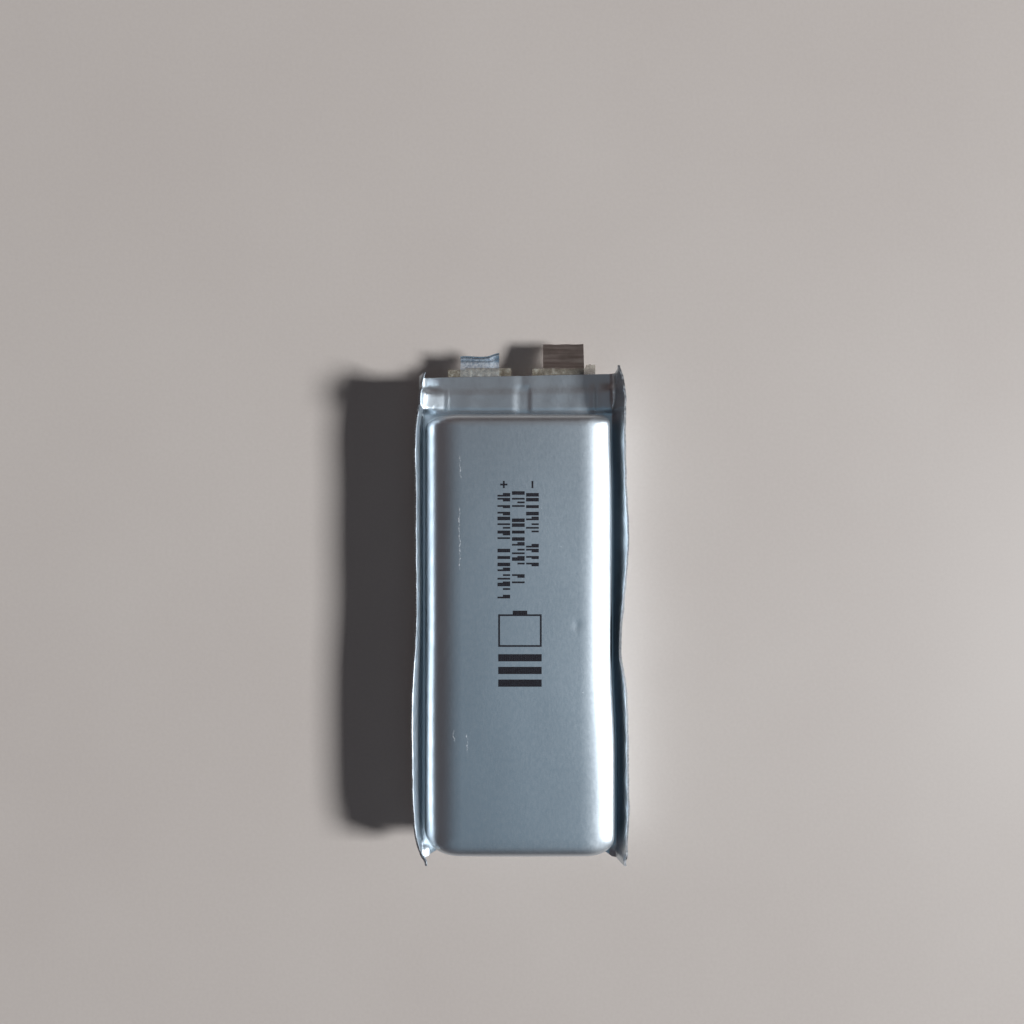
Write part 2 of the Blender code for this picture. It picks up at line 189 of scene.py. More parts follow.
def tilt(side, s, y):
    """Slope of the flange at a distance s beyond CURVE_START, measured along it.

    The turn at the crease is sharp beside the body and soft beside the terrace, and the flange rises a little
    towards it there and at the fold. The wing curls outward near its free edge, and its cut edge flares.
    """
    crease = CREASE_X - CURVE_START
    sharp = smooth(crease - 0.25, crease + 0.35, s)
    soft = smooth(crease - 0.9, crease + 1.3, s)
    ease = smooth(FOOT_HIGH + 0.3, FOOT_HIGH + 2.6, y)
    inner = terrace_edge(side * CREASE_X) - SEAL_BAND
    band = smooth(inner + 0.4, inner - 0.4, y)
    lift = (0.02 + 0.30 * band) if side < 0 else (0.05 + 0.08 * band)
    at_terrace = smooth(FOOT_HIGH + 0.2, FOOT_HIGH + 0.9, y)
    at_fold = smooth(FOLD_Y + 0.9, FOLD_Y - 0.1, y)
    rising = lift * smooth(crease - 3.95, crease - 3.65, s) * at_terrace
    rising = rising + 0.5 * smooth(crease - 1.3, crease - 0.9, s) * at_fold
    slope = rising * (1 - soft)
    full = math.pi / 2 - wing_lean(side, y)
    curl = 0.10 * smooth(crease + 2.2, crease + 3.5, s)
    edge = crease + WING_LENGTH
    flare = FLARE_TURN[side > 0] * smooth(edge - FLARE, edge - FLARE / 3, s)
    return full * (sharp * (1 - ease) + soft * ease) + slope - curl - flare


def middle(side, distance, y):
    """Points and normals of the middle surface; distance is from x = 0, measured along it."""
    x = np.minimum(distance, CURVE_START)
    s = np.maximum(distance - CURVE_START, 0)
    z = np.full_like(x, SEAL_Z)
    for k in range(MIDDLE_STEPS):
        angle = tilt(side, s * (k + 0.5) / MIDDLE_STEPS, y)
        x += np.cos(angle) * s / MIDDLE_STEPS
        z += np.sin(angle) * s / MIDDLE_STEPS
    angle = np.where(s > 0, tilt(side, s, y), 0.0)
    points = np.stack([side * x, y, z - droop(y)], -1)
    points[..., 0] += bulge(points[..., 0], y)
    normals = np.stack([-side * np.sin(angle), np.zeros_like(y), np.cos(angle)], -1)
    return points, normals


def terrace_edge(x):
    return TERRACE_Y + TERRACE_SLANT * x


# ---------------------------------------------------------------------------------------------
# Meshes

SHARP_ANGLE = math.radians(50)


def grid_faces(rows, columns, first=0, flip=False):
    index = first + np.arange(rows * columns).reshape(rows, columns)
    a, b = index[:-1, :-1], index[:-1, 1:]
    c, d = index[1:, 1:], index[1:, :-1]
    order = (a, d, c, b) if flip else (a, b, c, d)
    return np.stack([q.ravel() for q in order], -1)


def border_faces(rows, columns, flip=False):
    """Quads that join the borders of two grids, the second stored after the first."""
    index = np.arange(rows * columns).reshape(rows, columns)
    loop = np.concatenate([index[0, :], index[1:, -1], index[-1, -2::-1], index[-2:0:-1, 0]])
    after = np.roll(loop, -1)
    under = rows * columns
    order = (loop, after, after + under, loop + under)
    if not flip:
        order = order[::-1]
    return np.stack(order, -1)


def normals_of(points):
    across = np.gradient(points, axis=1)
    along = np.gradient(points, axis=0)
    normal = np.cross(across, along)
    return normal / np.maximum(np.linalg.norm(normal, axis=-1, keepdims=True), 1e-12)


def sheet(name, top, bottom, rest, materials, body=None, edge_material=0):
    """A closed sheet between two grids of points; top has the outward side, rows run along y."""
    rows, columns = top.shape[:2]
    flip = normals_of(top)[rows // 2, columns // 2] @ (top - bottom)[rows // 2, columns // 2] < 0
    count = rows * columns
    faces = np.concatenate(
        [
            grid_faces(rows, columns, 0, flip),
            grid_faces(rows, columns, count, not flip),
            border_faces(rows, columns, flip),
        ]
    )
    verts = np.concatenate([top.reshape(-1, 3), bottom.reshape(-1, 3)]) * MM
    mesh = bpy.data.meshes.new(name)
    mesh.from_pydata(verts.tolist(), [], faces.tolist())
    attribute = mesh.attributes.new("rest", "FLOAT_VECTOR", "POINT")
    flat = rest.reshape(-1, rest.shape[-1])
    attribute.data.foreach_set("vector", np.concatenate([flat, flat]).ravel().astype(np.float32))
    for made in materials:
        mesh.materials.append(made)
    slots = np.zeros(len(faces), np.int32)
    slots[2 * (rows - 1) * (columns - 1) :] = edge_material
    mesh.polygons.foreach_set("material_index", slots)
    mesh.shade_smooth()
    mesh.set_sharp_from_angle(angle=SHARP_ANGLE)
    mesh.validate()
    piece = bpy.data.objects.new(name, mesh)
    bpy.context.scene.collection.objects.link(piece)
    if body:
        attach(piece, body)
    return piece


# ---------------------------------------------------------------------------------------------
# Materials


class Nodes:
    """A Principled material under construction."""

    def __init__(self, name):
        self.material = bpy.data.materials.new(name)
        self.material.use_nodes = True
        self.tree = self.material.node_tree
        self.shader = self.tree.nodes["Principled BSDF"]

    def new(self, kind, **settings):
        node = self.tree.nodes.new(kind)
        for key, value in settings.items():
            setattr(node, key, value)
        return node

    def link(self, a, b):
        self.tree.links.new(a, b)

    def set(self, **values):
        for key, value in values.items():
            self.shader.inputs[key.replace("_", " ")].default_value = value

    def rest(self):
        """The piece's own coordinates in millimetres, which bend with it."""
        return self.new("ShaderNodeAttribute", attribute_name="rest").outputs["Vector"]

    def place(self):
        """Object coordinates in millimetres, for CAD nodes."""
        scale = self.new("ShaderNodeVectorMath", operation="SCALE")
        self.link(self.new("ShaderNodeTexCoord").outputs["Object"], scale.inputs[0])
        scale.inputs["Scale"].default_value = 1 / MM
        return scale.outputs[0]

    def stretched(self, source, scale):
        mapping = self.new("ShaderNodeMapping")
        self.link(source, mapping.inputs["Vector"])
        mapping.inputs["Scale"].default_value = scale
        return mapping.outputs["Vector"]

    def noise(self, source, scale, detail=3.0, roughness=0.55, squeeze=(1, 1, 1)):
        node = self.new("ShaderNodeTexNoise")
        self.link(self.stretched(source, squeeze), node.inputs["Vector"])
        node.inputs["Scale"].default_value = scale
        node.inputs["Detail"].default_value = detail
        node.inputs["Roughness"].default_value = roughness
        return node.outputs["Fac"]

    def ramp(self, factor, stops):
        node = self.new("ShaderNodeValToRGB")
        self.link(factor, node.inputs["Fac"])
        elements = node.color_ramp.elements
        while len(elements) < len(stops):
            elements.new(0.5)
        for element, (position, colour) in zip(elements, stops):
            element.position = position
            element.color = (*colour, 1)
        return node.outputs["Color"]

    def range(self, factor, low, high, to_low, to_high):
        node = self.new("ShaderNodeMapRange")
        self.link(factor, node.inputs["Value"])
        for key, value in zip(("From Min", "From Max", "To Min", "To Max"), (low, high, to_low, to_high)):
            node.inputs[key].default_value = value
        return node.outputs["Result"]

    def math(self, operation, a, b):
        node = self.new("ShaderNodeMath", operation=operation)
        for socket, value in zip(node.inputs, (a, b)):
            if isinstance(value, (int, float)):
                socket.default_value = value
            else:
                self.link(value, socket)
        return node.outputs[0]

    def mix(self, factor, a, b, blend="MIX"):
        node = self.new("ShaderNodeMix", data_type="RGBA", blend_type=blend)
        for key, value in (("Factor", factor), ("A", a), ("B", b)):
            socket = [s for s in node.inputs if s.name == key and (key == "Factor" or s.type == "RGBA")][0]
            if isinstance(value, (int, float)):
                socket.default_value = value
            elif isinstance(value, tuple):
                socket.default_value = (*value, 1)
            else:
                self.link(value, socket)
        return [s for s in node.outputs if s.type == "RGBA"][0]

    def bump(self, height, distance, strength=1.0, under=None):
        node = self.new("ShaderNodeBump")
        self.link(height, node.inputs["Height"])
        node.inputs["Distance"].default_value = distance * MM
        node.inputs["Strength"].default_value = strength
        if under is not None:
            self.link(under, node.inputs["Normal"])
        return node.outputs["Normal"]

    def scratch(self, rest, x, low, high):
        """A wandering hairline along y at x, from low to high, broken by fine noise."""
        split = self.new("ShaderNodeSeparateXYZ")
        self.link(rest, split.inputs[0])
        wander = self.range(self.noise(rest, 0.9, 3, 0.6, (0.01, 1, 1)), 0.3, 0.7, -0.16, 0.16)
        off = self.math("SUBTRACT", split.outputs["X"], self.math("ADD", wander, x))
        line = self.range(self.math("ABSOLUTE", off, 0), 0.04, 0.10, 1, 0)
        begins = self.range(split.outputs["Y"], low, low + 0.4, 0, 1)
        stops = self.range(split.outputs["Y"], high - 0.4, high, 1, 0)
        ends = self.math("MULTIPLY", begins, stops)
        broken = self.range(self.noise(rest, 3.0, 2, 0.6), 0.45, 0.6, 0.1, 0.8)
        return self.math("MULTIPLY", self.math("MULTIPLY", line, ends), broken)

    def use(self, **sockets):
        for key, value in sockets.items():
            self.link(value, self.shader.inputs[key.replace("_", " ")])
        return self.material


# Handling scratches on the front face: (x, lower end, upper end)
SCRATCHES = ((-8.25, 21.7, 25.0), (-8.35, 9.0, 18.0), (-9.05, -14.7, -12.9), (-7.3, -16.2, -13.4))


def foil_material(name, roughness, shade=1.0):
    """Aluminium laminate under a thin nylon skin: satin, finely mottled, with handling marks. A shade below 1
    is painted shade.
    """
    # shade scales the whole colour: the wings get darker copies of this foil, painted shade, not a real
    # difference in the laminate
    dull = (0.685 * shade, 0.75 * shade, 0.80 * shade)
    clean = (0.735 * shade, 0.80 * shade, 0.85 * shade)
    m = Nodes(name)
    rest = m.rest()
    grain = m.noise(rest, 2.2, 4, 0.6, (1.6, 0.6, 1))
    cloud = m.noise(rest, 0.13, 3, 0.5, (1, 0.6, 1))
    speck = m.noise(rest, 7.0, 3, 0.6)
    base = m.ramp(cloud, [(0.3, dull), (0.7, clean)])
    tint = m.ramp(speck, [(0.25, (0.91, 0.92, 0.93)), (0.75, (1.0, 1.0, 1.0))])
    colour = m.mix(0.8, base, tint, "MULTIPLY")
    marks = m.range(m.noise(rest, 1.1, 5, 0.75, (3.0, 1.0, 1)), 0.72, 0.75, 0, 0.7)
    for x, low, high in SCRATCHES:
        marks = m.math("MAXIMUM", marks, m.scratch(rest, x, low, high))
    colour = m.mix(marks, colour, (0.95, 0.96, 0.97))
    uneven = m.range(speck, 0.35, 0.65, -0.02, 0.02)
    rough = m.math("ADD", m.range(grain, 0.3, 0.7, roughness - 0.025, roughness + 0.025), uneven)
    bump = m.bump(grain, 0.008, 0.4)
    bump = m.bump(speck, 0.004, 0.45, bump)
    bump = m.bump(marks, 0.02, 0.5, bump)
    m.set(Coat_Weight=0.3, Coat_Roughness=0.14)
    metal = m.range(marks, 0, 1, 1.0, 0.35)
    return m.use(Base_Color=colour, Metallic=metal, Roughness=rough, Normal=bump)


def cut_edge_material(name, shade):
    """The laminate's cut edge: bright aluminium between two plastic films. Its colour is scaled by shade:
    above 1 a painted highlight, below 1 painted shade.
    """
    # shade brightens or darkens the same edge colour: painted light, not a difference in the edge
    dull = (0.16 * shade, 0.17 * shade, 0.19 * shade)
    bright = (0.52 * shade, 0.54 * shade, 0.56 * shade)
    m = Nodes(name)
    rest = m.rest()
    nick = m.noise(rest, 3.0, 4, 0.7)
    colour = m.ramp(nick, [(0.4, dull), (0.65, bright)])
    m.set(Metallic=0.6)
    rough = m.range(nick, 0.3, 0.7, 0.4, 0.6)
    return m.use(Base_Color=colour, Roughness=rough, Normal=m.bump(nick, 0.03))


CRUSHED_TO = joint_mm("positive_tab_bend")[1] + 0.75  # the aluminium tab is pitted up to here


def aluminium_material():
    """Soft bright tab metal, dull and pitted where it was pressed, cleaner at its tip."""
    m = Nodes("aluminium_tab")
    rest = m.rest()
    roll = m.noise(rest, 1.5, 4, 0.6, (0.5, 4, 1))
    blot = m.noise(rest, 2.6, 4, 0.7)
    shades = [(0.38, (0.42, 0.49, 0.58)), (0.5, (0.74, 0.80, 0.86)), (0.62, (0.95, 0.98, 1.0))]
    colour = m.ramp(blot, shades)
    split = m.new("ShaderNodeSeparateXYZ")
    m.link(rest, split.inputs[0])
    crushed = m.range(split.outputs["Y"], CRUSHED_TO - 0.15, CRUSHED_TO + 0.15, 1, 0)
    bump = m.bump(roll, 0.01, 0.5)
    bump = m.bump(m.math("MULTIPLY", blot, crushed), 0.06, 0.7, bump)
    rough = m.math("ADD", m.range(crushed, 0, 1, 0.28, 0.48), m.range(blot, 0.35, 0.65, 0.07, -0.05))
    metal = m.range(crushed, 0, 1, 1.0, 0.62)
    return m.use(Base_Color=colour, Metallic=metal, Roughness=rough, Normal=bump)


def nickel_material():
    """Warm grey strip with soft rolling streaks across it."""
    m = Nodes("nickel_tab")
    rest = m.rest()
    roll = m.noise(rest, 0.7, 4, 0.55, (0.25, 3.5, 1))
    cloud = m.noise(rest, 0.5, 3, 0.5)
    shades = [(0.3, (0.62, 0.56, 0.52)), (0.5, (0.73, 0.67, 0.63)), (0.72, (0.88, 0.82, 0.77))]
    streak = m.ramp(roll, shades)
    shade = m.ramp(cloud, [(0.3, (0.78, 0.80, 0.78)), (0.7, (1.0, 1.0, 1.0))])
    colour = m.mix(1.0, streak, shade, "MULTIPLY")
    rough = m.range(roll, 0.3, 0.7, 0.34, 0.42)
    m.set(Metallic=1.0)
    return m.use(Base_Color=colour, Roughness=rough, Normal=m.bump(roll, 0.006, 0.4))


def film_material():
    """Tab sealant: thin, clouded polypropylene with a yellow-green cast."""
    m = Nodes("seal_film")
    rest = m.rest()
    haze = m.noise(rest, 1.5, 4, 0.65)
    pit = m.noise(rest, 5.0, 3, 0.6)
    shades = [(0.35, (0.20, 0.165, 0.12)), (0.52, (0.33, 0.295, 0.23)), (0.66, (0.66, 0.64, 0.55))]
    colour = m.ramp(haze, shades)
    rough = m.range(pit, 0.3, 0.7, 0.35, 0.6)
    m.set(Alpha=0.27, IOR=1.46)
    return m.use(Base_Color=colour, Roughness=rough, Normal=m.bump(pit, 0.03, 0.7))


def ink_material():
    """Almost black ink, slightly worn."""
    m = Nodes("print_ink")
    rest = m.place()
    wear = m.noise(rest, 6.0, 3, 0.6)
    colour = m.ramp(wear, [(0.35, (0.008, 0.007, 0.011)), (0.75, (0.022, 0.020, 0.028))])
    m.set(Specular_IOR_Level=0.3)
    rough = m.range(wear, 0.3, 0.7, 0.55, 0.75)
    return m.use(Base_Color=colour, Roughness=rough, Normal=m.bump(wear, 0.004))


def coated_material(name, dark, light, roughness):
    """An electrode's coating: fine powder, with faint calendering lines along the strip."""
    m = Nodes(name)
    place = m.place()
    powder = m.noise(place, 12.0, 3, 0.7)
    lines = m.noise(place, 1.0, 3, 0.5, (0.2, 5, 0.2))
    shades = [(0.3, dark), (0.7, light)]
    colour = m.mix(0.5, m.ramp(powder, shades), m.ramp(lines, shades))
    rough = m.range(powder, 0.3, 0.7, roughness - 0.06, roughness + 0.06)
    return m.use(Base_Color=colour, Roughness=rough, Normal=m.bump(powder, 0.01, 0.5))


def separator_material():
    """White microporous film, faintly crinkled."""
    m = Nodes("separator_film")
    place = m.place()
    pore = m.noise(place, 9.0, 3, 0.6)
    crinkle = m.noise(place, 0.6, 3, 0.5, (1, 0.3, 1))
    colour = m.ramp(crinkle, [(0.3, (0.78, 0.78, 0.76)), (0.7, (0.90, 0.90, 0.88))])
    bump = m.bump(crinkle, 0.05, 0.4, m.bump(pore, 0.005, 0.4))
    m.set(Subsurface_Weight=0.1)
    rough = m.range(pore, 0.3, 0.7, 0.5, 0.65)
    return m.use(Base_Color=colour, Roughness=rough, Normal=bump)


def tape_material(name, dark, light):
    """Glossy adhesive tape with a soft blush of colour."""
    m = Nodes(name)
    place = m.place()
    blush = m.noise(place, 0.5, 3, 0.55)
    orange_peel = m.noise(place, 4.0, 2, 0.5)
    colour = m.ramp(blush, [(0.3, dark), (0.7, light)])
    rough = m.range(blush, 0.3, 0.7, 0.3, 0.42)
    m.set(Coat_Weight=0.4)
    return m.use(Base_Color=colour, Roughness=rough, Normal=m.bump(orange_peel, 0.01))


FOIL_LOOK = foil_material("pouch_foil", 0.43)
# The wings are the pouch foil with its colour darkened, painted shade, the left wing more than the right
WING_LOOKS_PAINTED_DARKER = {
    "left": foil_material("left_wing_foil_painted_shade", 0.47, 0.86),
    "right": foil_material("right_wing_foil_painted_shade", 0.42, 0.9),
}
# The same cut edge, brightened on the left wing as a painted highlight and darkened on the right wing as
# painted shade; the terrace's edge is unscaled
CUT_EDGES = {
    "left": cut_edge_material("left_cut_edge_painted_highlight", 1.3),
    "terrace": cut_edge_material("terrace_cut_edge", 1.0),
    "right": cut_edge_material("right_cut_edge_painted_shade", 0.35),
}

# ---------------------------------------------------------------------------------------------
# Pouch shells

CORE_COLUMNS = 73  # the grid: a flat core, then rings over the rounding, then rings over the flange
CORE_ROWS = 151
ROUND_RINGS = 13
FLANGE_RINGS = 15
RINGS = ROUND_RINGS + FLANGE_RINGS


def film_lift(x, y):
    """Rise of the flange over the tabs' films, with the soft ridges pressed along their edges."""
    pressed = smooth(terrace_edge(x) - SEAL_BAND - 0.3, terrace_edge(x) - SEAL_BAND + 0.3, y)
    lift = 0.0
    for pole, left, right in (("positive", 0.35, 1.3), ("negative", 0.7, 0.6)):
        low, high = box_mm(pole + "_tab_film_front")
        sharp = smooth(low[0] - left, low[0], x) * smooth(high[0] + right, high[0], x)
        soft = smooth(low[0] - 2.6, low[0], x) * smooth(high[0] + 2.6, high[0], x)
        lift = np.maximum(lift, sharp + (soft - sharp) * pressed)
    return FILM_RISE * lift * smooth(FOOT_HIGH + 0.1, FOOT_HIGH + 0.9, y)


def terrace_relief(x, y):
    """The band inside the heat seal stands a little higher than the seal and is wavy."""
    seal = terrace_edge(x) - SEAL_BAND
    inside = smooth(FOOT_HIGH + 0.15, FOOT_HIGH + 1.0, y) * smooth(seal, seal - 0.6, y)
    waves = 0.05 * ripple(x, y * 0.15, 3.0, 11)
    crumple = 0.015 * ripple(x, y, 2.4, 5) * smooth(FOOT_HIGH + 0.2, FOOT_HIGH + 1.2, y)
    return inside * (0.09 + waves) + crumple


def face_relief(x, y):
    """The face's pillow, dents and unevenness, in millimetres above a flat face."""
    across = np.clip(x / FOOT_X, -1, 1)
    pillow = 0.08 - 0.20 * across**2 - 0.08 * across**4 - 0.05 * np.clip(y / FOOT_HIGH, -1, 1) ** 6
    dent = -0.05 * np.exp(-(((x - 7.85) / 0.45) ** 2 + ((y - 1.4) / 0.7) ** 2))
    dent = dent - 0.05 * np.exp(-(((x - 11.1) / 0.3) ** 2 + ((y + 25.3) / 1.3) ** 2))
    uneven = 0.02 * ripple(x, y * 0.5, 9.0, 3)
    return pillow + dent + uneven


# The right side's profile: (share of the arc's length, slope in degrees)
RIGHT_TURN = [(0.0, 0), (0.23, 12), (0.41, 26), (0.53, 37), (0.65, 74), (0.8, 87), (1.0, 90)]


def right_profile(arc):
    """Reach and height along the squarer right side, from the flat face (0, 1) to the foot (1, 0)."""
    steps = np.linspace(0, 1, 200)
    slope = np.radians(through(RIGHT_TURN, steps))
    across = np.concatenate([[0], np.cumsum(np.cos(slope))[:-1]])
    down = np.concatenate([[0], np.cumsum(np.sin(slope))[:-1]])
    return np.interp(arc, steps, across / across[-1]), 1 - np.interp(arc, steps, down / down[-1])


def cup_points(side):
    """The outer surface of a shell as a grid of points, and the flat coordinates of each."""
    a = np.concatenate([np.arange(-RINGS, 0), np.zeros(CORE_COLUMNS, int), np.arange(1, RINGS + 1)])
    b = np.concatenate([np.arange(-RINGS, 0), np.zeros(CORE_ROWS, int), np.arange(1, RINGS + 1)])
    core_left = FOOT_X - LEFT_ROUND
    core_right = FOOT_X - RIGHT_ROUND
    core_low = FOOT_LOW + LOW_ROUND
    core_high = FOOT_HIGH - HIGH_ROUND
    core_x = np.linspace(-core_left, core_right, CORE_COLUMNS)
    core_y = np.linspace(core_low, core_high, CORE_ROWS)
    column = np.concatenate([np.full(RINGS, -core_left), core_x, np.full(RINGS, core_right)])
    row = np.concatenate([np.full(RINGS, core_low), core_y, np.full(RINGS, core_high)])
    a, b = np.meshgrid(a, b)
    x0, y0 = np.meshgrid(column, row)
    ring = np.maximum(abs(a), abs(b))
    share = np.minimum(abs(a), abs(b)) / np.maximum(ring, 1)
    angle = np.where(abs(a) >= abs(b), share, 2 - share) * math.pi / 4
    right_plan = np.where(b > 0, HIGH_RIGHT_PLAN_POWER, LOW_RIGHT_PLAN_POWER)
    plan = np.where(a > 0, right_plan, LEFT_PLAN_POWER)
    out_x = np.cos(angle) ** (2 / plan) * np.sign(a)
    out_y = np.sin(angle) ** (2 / plan) * np.sign(b)
    endward = np.sin(angle) ** 2
    power = LEFT_POWER * (1 - endward) + np.where(b > 0, HIGH_POWER, LOW_POWER) * endward
    turn = np.clip(ring / ROUND_RINGS, 0, 1) * math.pi / 2
    reach = np.sin(turn) ** (2 / power)
    height = np.clip(np.cos(turn), 0, 1) ** (2 / power)
    right_reach, right_height = right_profile(np.clip(ring / ROUND_RINGS, 0, 1))
    rightward = (1 - endward) * (a > 0)
    reach = reach + (right_reach - reach) * rightward
    height = height + (right_height - height) * rightward
    end_round = np.where(b > 0, HIGH_ROUND, LOW_ROUND)
    x = x0 + out_x * np.where(a > 0, RIGHT_ROUND, LEFT_ROUND) * reach
    y = y0 + out_y * end_round * reach
    depth = TOP_Z - SEAL_Z - SEAL_GAP / 2 - FOIL - FOOT_FILLET
    z = FOOT_FILLET + depth * height

    # From the foot to the edge of the flange
    beyond = np.clip((ring - ROUND_RINGS) / FLANGE_RINGS, 0, 1) ** 1.4
    core = np.where(a > 0, core_right, core_left)
    sideways = abs(a) >= abs(b)
    edge_x = np.where(sideways, SEAM_X * np.sign(a), x0 + share * (SEAM_X - core) * np.sign(a))
    fold = FOLD_Y - CORNER_EAR * smooth(11.3, 13.2, abs(edge_x))
    edge_y_end = np.where(b > 0, terrace_edge(edge_x), fold)
    edge_y = np.where(sideways, y0 + share * (edge_y_end - y0) * (b != 0), edge_y_end)
    foot_distance = np.hypot(edge_x - x, edge_y - y) * beyond
    flange = ring > ROUND_RINGS
    x = np.where(flange, x + (edge_x - x) * beyond, x)
    y = np.where(flange, y + (edge_y - y) * beyond, y)
    z = np.where(flange, FOOT_FILLET * np.exp(-foot_distance / FILLET_DECAY), z)

    flat = np.stack([x, y, np.zeros_like(x)], -1)
    points, normals = middle(1, np.abs(x), y)
    left, left_normals = middle(-1, np.abs(x), y)
    is_left = (x < 0)[..., None]
    points = np.where(is_left, left, points)
    normals = np.where(is_left, left_normals, normals)
    on_cup = (ring <= ROUND_RINGS)[..., None]
    warped = np.stack([x + bulge(x, y), y, np.full_like(x, SEAL_Z)], -1)
    points = np.where(on_cup, warped, points)
    normals = np.where(on_cup, np.array([0.0, 0.0, 1.0]), normals)
    rise = SEAL_GAP / 2 + FOIL + z
    rise = rise + face_relief(x, y) * np.clip(height, 0, 1) ** 2 * (ring <= ROUND_RINGS)
    rise = rise + (film_lift(x, y) + terrace_relief(x, y)) * (y > FOOT_HIGH) * (ring >= ROUND_RINGS)
    return points + side * normals * rise[..., None], flat


def shell(name, side):
    """One cup with its flange; side is 1 for the front and -1 for the back."""
    outer, flat = cup_points(side)
    normal = normals_of(outer) * side
    inner = outer - normal * FOIL
    flat[..., 2] = side  # so that the two shells' textures differ
    piece = sheet(name, outer, inner, flat, [FOIL_LOOK, CUT_EDGES["terrace"]], "cell", 1)
    return piece


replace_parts(shell("front_pouch_foil", 1), "front_pouch_shell")
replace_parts(shell("back_pouch_foil", -1), "back_pouch_shell")

# ---------------------------------------------------------------------------------------------
# Side wings

WING_ROWS = 300
WING_COLUMNS = 46
WING_REACH = CREASE_X + WING_LENGTH - SEAM_X  # from the seam to the free edge


def wing(side_name, side):
    """Two plies that run from the shells' seam round the crease to the trimmed free edge.

    Share runs from the seam to the free edge, denser near the edge, and past from the crease to the edge.
    """
    along = np.linspace(0, 1, WING_ROWS)
    share = 1 - (1 - np.linspace(0, 1, WING_COLUMNS)) ** 1.35
    share, along = np.meshgrid(share, along)
    past = np.clip((share * WING_REACH - (CREASE_X - SEAM_X)) / WING_LENGTH, 0, 1)
    low_ear = CORNER_EAR - 0.3 * past
    high_ear = 0.2 * past + (0.4 * past**9 if side > 0 else 0.0)
    low = FOLD_Y - low_ear
    high = terrace_edge(side * CREASE_X) + high_ear
    y = low + (high - low) * along
    rng = np.random.RandomState(21 + side)
    nick = rng.normal(0, 1, WING_ROWS)[:, None]
    trim = 1 + 0.003 * nick * share**4 + 0.015 * ripple(y, y * 0, 14.0, 8 + side) * share**2
    distance = SEAM_X + share * WING_REACH * trim
    points, normals = middle(side, distance, y)
    flutter = 0.06 * ripple(distance, y, 2.2, 31 + side) * past**2
    flutter = flutter + 0.006 * rng.normal(0, 1, WING_ROWS)[:, None] * past**6
    crumple = 0.16 * ripple(distance, y, 1.6, 41 + side) * past * smooth(-29.6, -31.4, y)
    crumple = crumple + 0.10 * ripple(distance, y, 1.8, 51 + side) * past * smooth(34.5, 36.5, y)
    points = points + normals * (flutter + crumple)[..., None]
    rest = np.stack([side * distance, y, past], -1)
    for ply_name, ply in (("front", 1), ("back", -1)):
        near = points + normals * ply * SEAL_GAP / 2
        far = points + normals * ply * (SEAL_GAP / 2 + FOIL)
        name = f"{side_name}_wing_{ply_name}_foil"
        looks = [WING_LOOKS_PAINTED_DARKER[side_name], CUT_EDGES[side_name]]
        piece = sheet(name, far, near, rest, looks, edge_material=1)
        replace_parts(piece, f"{side_name}_wing_{ply_name}_ply")
        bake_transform(piece)


wing("left", -1)
wing("right", 1)

# ---------------------------------------------------------------------------------------------
# Tabs and films

ALUMINIUM = aluminium_material()
NICKEL = nickel_material()
FILM = film_material()
FILM_THINNING = 0.8  # of the CAD film's thickness, which leaves room for its waviness


def tab(pole, look, tip_shape, curl):
    """One metal strip from inside the roll to the tip, bending where it leaves the films."""
    low, high = box_mm(pole + "_tab_root")
    tip = box_mm(pole + "_tab_blade")[1][1]
    bend = joint_mm(pole + "_tab_bend")[1]
    across = np.linspace(0, 1, 25)
    along = np.concatenate([np.linspace(0, 0.85, 30)[:-1], np.linspace(0.85, 1, 50)])
    across, along = np.meshgrid(across, along)
    end = tip + tip_shape(across)
    x = low[0] + (high[0] - low[0]) * across
    y = low[1] + (end - low[1]) * along
    z = SEAL_Z - droop(y) + curl(across, y, end) * smooth(bend - 0.6, bend + 0.3, y)
    top = np.stack([x, y, z], -1)
    normal = normals_of(top)
    half = (high[2] - low[2]) / 2
    rest = np.stack([x, y, np.zeros_like(x)], -1)
    piece = sheet(pole + "_tab_strip", top + normal * half, top - normal * half, rest, [look])
    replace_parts(piece, pole + "_tab_root", pole + "_tab_blade")
    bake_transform(piece)


def film(pole, face, edge_shape):
    """One seal film, a thin wavy sheet with a ragged outer edge."""
    node = f"{pole}_tab_film_{face}"
    low, high = box_mm(node)
    across = np.linspace(0, 1, 110)
    along = np.linspace(0, 1, 40)
    across, along = np.meshgrid(across, along)
    edge = high[1] + edge_shape(across)
    x = low[0] + (high[0] - low[0]) * across
    y = low[1] + (edge - low[1]) * along
    half = (high[2] - low[2]) / 2 * FILM_THINNING
    wave = 0.012 * ripple(x, y, 1.5, 61)
    middle_z = (low[2] + high[2]) / 2 - droop(y) + wave
    top = np.stack([x, y, middle_z + half], -1)
    bottom = np.stack([x, y, middle_z - half], -1)
    rest = np.stack([x, y, np.zeros_like(x)], -1)
    piece = sheet(f"{pole}_film_{face}", top, bottom, rest, [FILM], "cell")
    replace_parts(piece, node)


def positive_tip(across):
    """How far the aluminium tab's tip stands past the CAD blade, over its width."""
    return -0.22 + 0.42 * smooth(0.70, 1.0, across) + 0.05 * np.sin(9 * across)


def negative_tip(across):
    """The same for the nickel tab."""
    return 0.48 + 0.03 * np.sin(14 * across) + 0.05 * across


def positive_curl(across, y, end):
    """The tip is bent up and back, most at its right corner."""
    near_tip = smooth(0.75, 0.0, end - y)
    sag = -0.45 * np.maximum(y - 37.4, 0)
    corner = 0.42 * smooth(0.55, 1.0, across)
    return sag + near_tip * (0.85 + corner) + 0.02 * ripple(across * 5, y, 1.5, 71)


def negative_curl(across, y, end):
    """The nickel tab is only slightly wavy: it has no curl, and so doesn't use its end."""
    return -0.24 * np.maximum(y - 37.6, 0) + 0.012 * ripple(across * 2, y, 1.6, 73)


